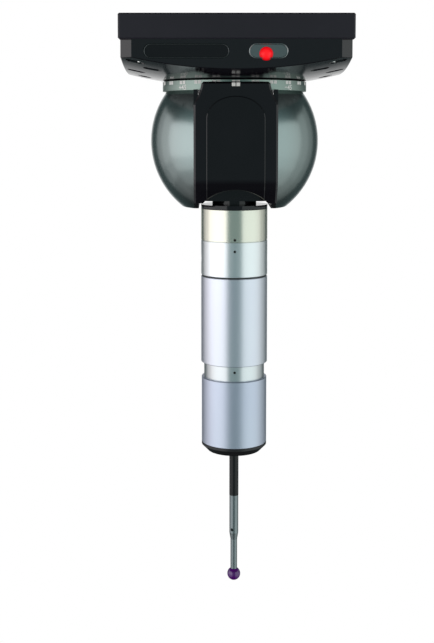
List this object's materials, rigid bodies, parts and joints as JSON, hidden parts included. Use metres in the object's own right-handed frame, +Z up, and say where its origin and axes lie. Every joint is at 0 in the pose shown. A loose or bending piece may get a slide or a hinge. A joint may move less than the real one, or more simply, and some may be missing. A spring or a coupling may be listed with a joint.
{
  "type": "motorised indexing probe head with scanning probe",
  "caption": "Motorised two-axis probe head: a square fixed housing, a spherical yoke that turns and an arm that tilts, holding a slim scanning probe with a stylus and ruby ball.",
  "frame": {"origin": "centre of the top mounting face, on the vertical turning axis", "axes": "+Z up out of the mounting face towards the machine's quill, +X along the tilt axis, the arm hangs along -Z at rest and tilts towards +Y; the lamp side faces -Y"},
  "size_m": [0.08, 0.0806, 0.2129],
  "materials": {
    "plate_black": "matte black anodised plate",
    "housing_black": "gloss black enamel",
    "cheek_black": "polished black shell",
    "panel_black": "gloss black plate",
    "screw_steel": "plain steel screws and shafts",
    "bearing_steel": "ground bearing steel",
    "gear_steel": "hobbed steel",
    "motor_can": "plated steel can",
    "bush_bronze": "sintered bronze",
    "fork_alloy": "dark anodised casting",
    "arm_cover_black": "satin black",
    "scale_silver": "satin silver grey with white marks",
    "bezel_chrome": "bright",
    "led_red": "moulded red lens",
    "board_green": "circuit board",
    "socket_black": "moulded insulator",
    "pin_gold": "gold-plated pins",
    "adapter_nickel": "warm satin nickel",
    "collar_silver": "silver white",
    "seal_rubber": "black seal",
    "probe_satin": "satin silver",
    "neck_bright": "bright turned",
    "magnet_plated": "nickel-plated magnet",
    "sensor_black": "black moulded optics carrier",
    "window_glass": "clear window",
    "cap_black": "satin black end ring",
    "spring_steel": "spring steel",
    "holder_black": "black carbon-fibre rod",
    "stem_steel": "stainless steel",
    "ruby": "polished synthetic ruby"
  },
  "bodies": {
    "root": {"mounting_plate": "plate_black", "upper_housing": "housing_black", "housing_screws": "screw_steel", "badge_plate": "panel_black", "led_bezel": "bezel_chrome", "status_led": "led_red", "control_board": "board_green", "connector_shell": "socket_black", "connector_pins": "pin_gold", "slip_ring": "socket_black", "b_bearing_outer": "bearing_steel", "b_motor": "motor_can"},
    "yoke": {"b_bearing_balls": "bearing_steel", "turntable": "fork_alloy", "b_bearing_inner": "bearing_steel", "b_gear": "gear_steel", "spindle_nut": "screw_steel", "scale_ring": "scale_silver", "fork_walls": "fork_alloy", "left_cheek": "cheek_black", "right_cheek": "cheek_black", "cheek_screws": "screw_steel", "spine_cover": "housing_black", "spine_panel": "panel_black", "fork_tie": "screw_steel", "a_bushes": "bush_bronze", "a_motor": "motor_can"},
    "b_pinion": {"b_pinion": "gear_steel"},
    "arm": {"arm_frame": "fork_alloy", "a_axle": "screw_steel", "axle_nut": "screw_steel", "a_gear": "gear_steel", "arm_cover": "arm_cover_black", "arm_cover_screws": "screw_steel", "arm_board": "board_green", "joint_flange": "fork_alloy", "draw_hook": "screw_steel", "coupling_balls": "bearing_steel", "contact_pins": "pin_gold", "adapter_ring": "adapter_nickel", "probe_collar": "collar_silver", "collar_seal": "seal_rubber", "probe_body": "probe_satin", "coupling_magnets": "magnet_plated", "sensor_block": "sensor_black", "sensor_window": "window_glass", "module_neck": "neck_bright", "module_body": "probe_satin", "spring_clamp": "spring_steel", "module_cap": "cap_black", "dust_seal": "seal_rubber"},
    "a_pinion": {"a_pinion": "gear_steel"},
    "lock_cam": {"lock_cam": "screw_steel"},
    "gimbal_x": {"gimbal_ring": "spring_steel"},
    "gimbal_y": {"gimbal_hub": "spring_steel"},
    "stylus": {"stylus_holder": "holder_black", "stylus_carrier": "stem_steel", "mirror": "window_glass", "stylus_stem": "stem_steel", "stylus_ball": "ruby"}
  },
  "joints": [
    {"name": "b_turn", "type": "hinge", "parent": "root", "child": "yoke", "pos_m": [0, 0, -0.0185], "axis": [0, 0, 1], "range_deg": [-180, 180]},
    {"name": "b_pinion_spin", "type": "hinge", "parent": "root", "child": "b_pinion", "pos_m": [-0.01724, 0.01446, -0.0135], "axis": [0, 0, 1], "range_deg": [-721, 721]},
    {"name": "a_tilt", "type": "hinge", "parent": "yoke", "child": "arm", "pos_m": [0, 0, -0.0435], "axis": [1, 0, 0], "range_deg": [0, 105]},
    {"name": "a_pinion_spin", "type": "hinge", "parent": "yoke", "child": "a_pinion", "pos_m": [0.01715, -0.01443, -0.0355], "axis": [1, 0, 0], "range_deg": [-391, 1]},
    {"name": "lock_turn", "type": "hinge", "parent": "arm", "child": "lock_cam", "pos_m": [0, 0, -0.0875], "axis": [1, 0, 0], "range_deg": [0, 170]},
    {"name": "stylus_tilt_x", "type": "hinge", "parent": "arm", "child": "gimbal_x", "pos_m": [0, 0, -0.1415], "axis": [1, 0, 0], "range_deg": [-1.6, 1.6], "stiffness_Nm_per_rad": 1.9},
    {"name": "stylus_tilt_y", "type": "hinge", "parent": "gimbal_x", "child": "gimbal_y", "pos_m": [0, 0, -0.1415], "axis": [0, 1, 0], "range_deg": [-1.6, 1.6], "stiffness_Nm_per_rad": 1.9},
    {"name": "stylus_z", "type": "slide", "parent": "gimbal_y", "child": "stylus", "axis": [0, 0, 1], "range_m": [-0.0012, 0.0017], "stiffness_N_per_m": 600}
  ],
  "couplings": [
    {"joint": "b_pinion_spin", "follows": "b_turn", "ratio": -4},
    {"joint": "a_pinion_spin", "follows": "a_tilt", "ratio": -3.7143}
  ]
}
